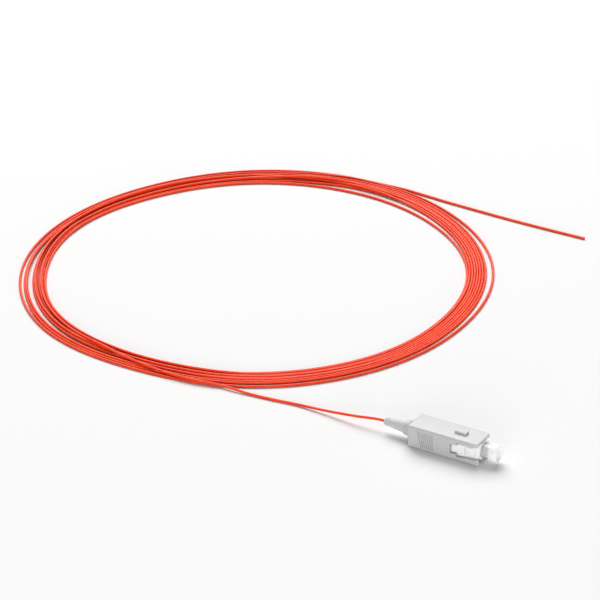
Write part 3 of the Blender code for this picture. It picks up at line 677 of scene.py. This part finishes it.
def make_ferrule():
    """The slightly domed tip with its chamfer, the flange and the tail."""
    profile = [
        (FERRULE_TIP, 0.0), (FERRULE_TIP, CORE_RADIUS),
        (FERRULE_TIP - FERRULE_DOME, FERRULE_RADIUS - FERRULE_CHAMFER),
        (FERRULE_TIP - 2 * FERRULE_CHAMFER, FERRULE_RADIUS),
        (FLANGE_FRONT, FERRULE_RADIUS), (FLANGE_FRONT, FLANGE_RADIUS),
        (FLANGE_REAR, FLANGE_RADIUS), (FLANGE_REAR, TAIL_RADIUS),
        (TAIL_REAR, TAIL_RADIUS), (TAIL_REAR, 0.0)]
    ferrule = turned("ferrule_fine", profile)
    shade_round(ferrule)
    return ferrule


def make_dust_cap():
    """A thin-walled push-on cap: neck, wide head with a rolled rim, and a shallow recess in its end."""
    recess_floor = CAP_FRONT - CAP_RECESS_DEPTH
    lip = CAP_EDGE / 3
    profile = [
        (recess_floor, 0.0), (recess_floor, CAP_RECESS_RADIUS - CAP_EDGE),
        (CAP_FRONT - lip, CAP_RECESS_RADIUS - lip), (CAP_FRONT, CAP_RECESS_RADIUS)]
    profile += arc(CAP_FRONT - CAP_RIM, CAP_HEAD_RADIUS - CAP_RIM, CAP_RIM, 0, 90, RIM_STEPS)
    profile += arc(CAP_HEAD_REAR + CAP_EDGE, CAP_HEAD_RADIUS - CAP_EDGE, CAP_EDGE, 90, 180, EDGE_STEPS)
    profile += arc(
        CAP_HEAD_REAR - CAP_NECK_FILLET, CAP_NECK_RADIUS + CAP_NECK_FILLET, CAP_NECK_FILLET,
        0, -90, EDGE_STEPS)
    profile += [
        (CAP_REAR + CAP_EDGE / 2, CAP_NECK_RADIUS), (CAP_REAR, CAP_NECK_RADIUS - CAP_EDGE / 2),
        (CAP_REAR, CAP_BORE_RADIUS), (CAP_BORE_END, CAP_BORE_RADIUS), (CAP_BORE_END, 0.0)]
    cap = turned("cap_fine", profile)
    shade_round(cap)
    return cap


# Materials

FINE_DETAIL = 4.0
JACKET_LOW = (0.90, 0.050, 0.003)
JACKET_HIGH = (0.97, 0.066, 0.006)
# Painted shade: the deep red mixed into the jacket's colour where ambient occlusion finds other turns or the
# floor close by
JACKET_PAINTED_SHADE = (0.42, 0.008, 0.001, 1.0)
JACKET_BLOTCHES = 160.0
JACKET_SMEARS = 900.0
JACKET_GRAIN = 2400.0
# How far the painted shade's ambient occlusion looks, and the occlusion values at which that shade is
# darkest and where it has faded out
PAINTED_SHADE_REACH = 2 * FIBRE_DIAMETER
PAINTED_SHADE_DARKEST = 0.02
PAINTED_SHADE_CLEAR = 0.5
PLASTIC_BLOTCHES = 220.0
PLASTIC_SMEARS = 700.0
ROUGHNESS_SPREAD = 0.06


def new_material(name, colour, roughness):
    made = bpy.data.materials.new(name)
    made.use_nodes = True
    shader = made.node_tree.nodes["Principled BSDF"]
    shader.inputs["Base Color"].default_value = (*colour, 1.0)
    shader.inputs["Roughness"].default_value = roughness
    return made, made.node_tree, shader


def add_noise(tree, scale, detail):
    """Noise over the object's own coordinates, scale being how many of its waves go to a metre."""
    place = tree.nodes.new("ShaderNodeTexCoord")
    noise = tree.nodes.new("ShaderNodeTexNoise")
    noise.inputs["Scale"].default_value = scale
    noise.inputs["Detail"].default_value = detail
    tree.links.new(place.outputs["Object"], noise.inputs["Vector"])
    return noise


def vary_colour(tree, shader, low, high, scale):
    noise = add_noise(tree, scale, 3.0)
    ramp = tree.nodes.new("ShaderNodeValToRGB")
    ramp.color_ramp.elements[0].position = 0.35
    ramp.color_ramp.elements[0].color = (*low, 1.0)
    ramp.color_ramp.elements[1].position = 0.65
    ramp.color_ramp.elements[1].color = (*high, 1.0)
    tree.links.new(noise.outputs["Fac"], ramp.inputs["Fac"])
    tree.links.new(ramp.outputs["Color"], shader.inputs["Base Color"])


def vary_roughness(tree, shader, low, high, scale):
    noise = add_noise(tree, scale, FINE_DETAIL)
    spread = tree.nodes.new("ShaderNodeMapRange")
    spread.inputs["To Min"].default_value = low
    spread.inputs["To Max"].default_value = high
    tree.links.new(noise.outputs["Fac"], spread.inputs["Value"])
    tree.links.new(spread.outputs["Result"], shader.inputs["Roughness"])


def add_bump(tree, shader, scale, strength, distance):
    noise = add_noise(tree, scale, FINE_DETAIL)
    bump = tree.nodes.new("ShaderNodeBump")
    bump.inputs["Strength"].default_value = strength
    bump.inputs["Distance"].default_value = distance
    tree.links.new(noise.outputs["Fac"], bump.inputs["Height"])
    tree.links.new(bump.outputs["Normal"], shader.inputs["Normal"])


def jacket_material():
    """Red-orange buffer plastic, with painted shade: its colour is darkened to a deep red by ambient
    occlusion where other turns or the floor lie close.
    """
    made, tree, shader = new_material("fibre_jacket", JACKET_HIGH, 0.4)
    vary_colour(tree, shader, JACKET_LOW, JACKET_HIGH, JACKET_BLOTCHES)
    # Painted shade: ambient occlusion darkens the colour towards a deep red between close turns and next to
    # the floor
    painted_shade = tree.nodes.new("ShaderNodeAmbientOcclusion")
    painted_shade.inputs["Distance"].default_value = PAINTED_SHADE_REACH
    spread = tree.nodes.new("ShaderNodeMapRange")
    spread.inputs["From Min"].default_value = PAINTED_SHADE_DARKEST
    spread.inputs["From Max"].default_value = PAINTED_SHADE_CLEAR
    tree.links.new(painted_shade.outputs["AO"], spread.inputs["Value"])
    mix = tree.nodes.new("ShaderNodeMix")
    mix.data_type = "RGBA"
    mix.inputs["A"].default_value = JACKET_PAINTED_SHADE
    tree.links.new(spread.outputs["Result"], mix.inputs["Factor"])
    tree.links.new(shader.inputs["Base Color"].links[0].from_socket, mix.inputs["B"])
    tree.links.new(mix.outputs["Result"], shader.inputs["Base Color"])
    vary_roughness(tree, shader, 0.36, 0.5, JACKET_SMEARS)
    add_bump(tree, shader, JACKET_GRAIN, 0.12, 0.03 * MM)
    shader.inputs["Specular IOR Level"].default_value = 0.35
    return made


def plastic_material(name, low, high, roughness, grain, bump):
    """Moulded plastic, or ceramic or steel: clouded colour and gloss, and a fine grain."""
    made, tree, shader = new_material(name, high, roughness)
    vary_colour(tree, shader, low, high, PLASTIC_BLOTCHES)
    vary_roughness(tree, shader, roughness - ROUGHNESS_SPREAD, roughness + ROUGHNESS_SPREAD, PLASTIC_SMEARS)
    add_bump(tree, shader, grain, bump, 0.02 * MM)
    return made, shader


def cap_material():
    """Milky translucent plastic."""
    made, shader = plastic_material(
        "cap_plastic", (0.97, 0.97, 0.985), (0.985, 0.985, 0.995), 0.25, 1500.0, 0.06)
    shader.inputs["Subsurface Weight"].default_value = 1.0
    shader.inputs["Subsurface Radius"].default_value = (1.0, 1.0, 1.0)
    shader.inputs["Subsurface Scale"].default_value = 4 * MM
    return made


def steel_material():
    made, shader = plastic_material("spring_steel", (0.5, 0.5, 0.5), (0.6, 0.6, 0.6), 0.3, 1800.0, 0.1)
    shader.inputs["Metallic"].default_value = 1.0
    return made


# Floor, light and camera

CAMERA_ELEVATION = 27.26
CAMERA_DISTANCE = 0.991
CAMERA_LENS = 177.2
CAMERA_ROLL = -0.73
CAMERA_TARGET = Vector((-0.0894, 0.0617, 0.0))
SENSOR_WIDTH = 36.0
FLOOR_REACH = 3.0
PAPER_WHITE = (0.81, 0.81, 0.81)
ROOM_STRENGTH = 0.2

# Each lamp's name, place, what it points at, size and power
LAMPS = [
    ("softbox", (-1.15, 1.5, 2.2), (-0.06, 0.04, 0.0), (2.4, 2.4), 113.0),
    ("low_fill", (0.3, -0.88, 0.2), (0.0, 0.0, 0.0), (0.5, 0.3), 3.9),
    ("front_fill", (0.8, -0.3, 0.16), (0.0, 0.0, 0.0), (0.4, 0.2), 1.3),
]


def make_camera():
    """The photograph's viewpoint, with its slight roll."""
    azimuth = radians(CAMERA_AZIMUTH)
    elevation = radians(CAMERA_ELEVATION)
    roll = radians(CAMERA_ROLL)
    forward = Vector((-sin(azimuth) * cos(elevation), cos(azimuth) * cos(elevation), -sin(elevation)))
    level = Vector((cos(azimuth), sin(azimuth), 0.0))
    upright = level.cross(forward)
    right = level * cos(roll) + upright * sin(roll)
    up = upright * cos(roll) - level * sin(roll)
    place = CAMERA_TARGET - forward * CAMERA_DISTANCE
    data = bpy.data.cameras.new("camera")
    data.lens = CAMERA_LENS
    data.sensor_width = SENSOR_WIDTH
    data.clip_start = 0.01
    data.clip_end = 20.0
    camera = bpy.data.objects.new("camera", data)
    bpy.context.scene.collection.objects.link(camera)
    turn = Matrix((right, up, -forward)).transposed()
    camera.matrix_world = Matrix.Translation(place) @ turn.to_4x4()
    bpy.context.scene.camera = camera


def make_floor():
    mesh = bpy.data.meshes.new("floor")
    corners = [
        (x * FLOOR_REACH, y * FLOOR_REACH, 0.0) for x, y in ((-1, -1), (1, -1), (1, 1), (-1, 1))]
    mesh.from_pydata(corners, [], [(0, 1, 2, 3)])
    made = bpy.data.objects.new("floor", mesh)
    bpy.context.scene.collection.objects.link(made)
    floor_material, _, _ = new_material("floor_paper", PAPER_WHITE, 0.9)
    mesh.materials.append(floor_material)


def make_area_light(name, place, target, size, power):
    data = bpy.data.lights.new(name, "AREA")
    data.shape = "RECTANGLE"
    data.size = size[0]
    data.size_y = size[1]
    data.energy = power
    light = bpy.data.objects.new(name, data)
    bpy.context.scene.collection.objects.link(light)
    light.location = place
    direction = Vector(target) - Vector(place)
    light.rotation_euler = direction.to_track_quat("-Z", "Y").to_euler()


def make_light():
    world = bpy.data.worlds.new("studio")
    bpy.context.scene.world = world
    world.use_nodes = True
    background = world.node_tree.nodes["Background"]
    background.inputs["Color"].default_value = (1.0, 1.0, 1.0, 1.0)
    background.inputs["Strength"].default_value = ROOM_STRENGTH
    for lamp in LAMPS:
        make_area_light(*lamp)


def dress_fibre():
    """The one cord that takes the place of the coil's, lead's and tail's solids."""
    cord = make_cord()
    cord.data.materials.append(jacket_material())
    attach(cord, "plug")
    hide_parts("fibre_coil", "fibre_lead", "fibre_tail")


def dress_piece(piece, its_material, body, node):
    piece.data.materials.clear()
    piece.data.materials.append(its_material)
    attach(piece, body)
    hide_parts(node)


def dress_connector():
    grip_plastic, _ = plastic_material(
        "grip_plastic", (0.52, 0.517, 0.52), (0.545, 0.54, 0.542), 0.42, 1500.0, 0.1)
    plug_plastic, _ = plastic_material(
        "plug_plastic", (0.89, 0.89, 0.885), (0.92, 0.92, 0.915), 0.36, 1800.0, 0.08)
    ceramic, _ = plastic_material("zirconia", (0.88, 0.87, 0.83), (0.91, 0.9, 0.87), 0.14, 2500.0, 0.03)
    boot_rubber, _ = plastic_material(
        "boot_rubber", (0.57, 0.57, 0.575), (0.61, 0.61, 0.615), 0.55, 1600.0, 0.15)
    dress_piece(make_grip(), grip_plastic, "grip", "grip")
    dress_piece(make_plug_body(), plug_plastic, "plug", "plug_body")
    dress_piece(make_ferrule(), ceramic, "plug", "ferrule")
    dress_piece(make_boot(), boot_rubber, "plug", "boot")
    dress_piece(make_dust_cap(), cap_material(), "dust_cap", "dust_cap")


def dress_hidden_solids():
    """The spring and the rear body keep their solids."""
    steel = steel_material()
    for name in ("ferrule_spring", "rear_body"):
        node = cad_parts[name]
        for slot in node.material_slots:
            slot.material = steel
        if not node.material_slots:
            node.data.materials.append(steel)


def main():
    make_camera()
    make_floor()
    make_light()
    dress_fibre()
    dress_connector()
    dress_hidden_solids()
    bpy.context.scene.view_settings.view_transform = "Standard"


main()
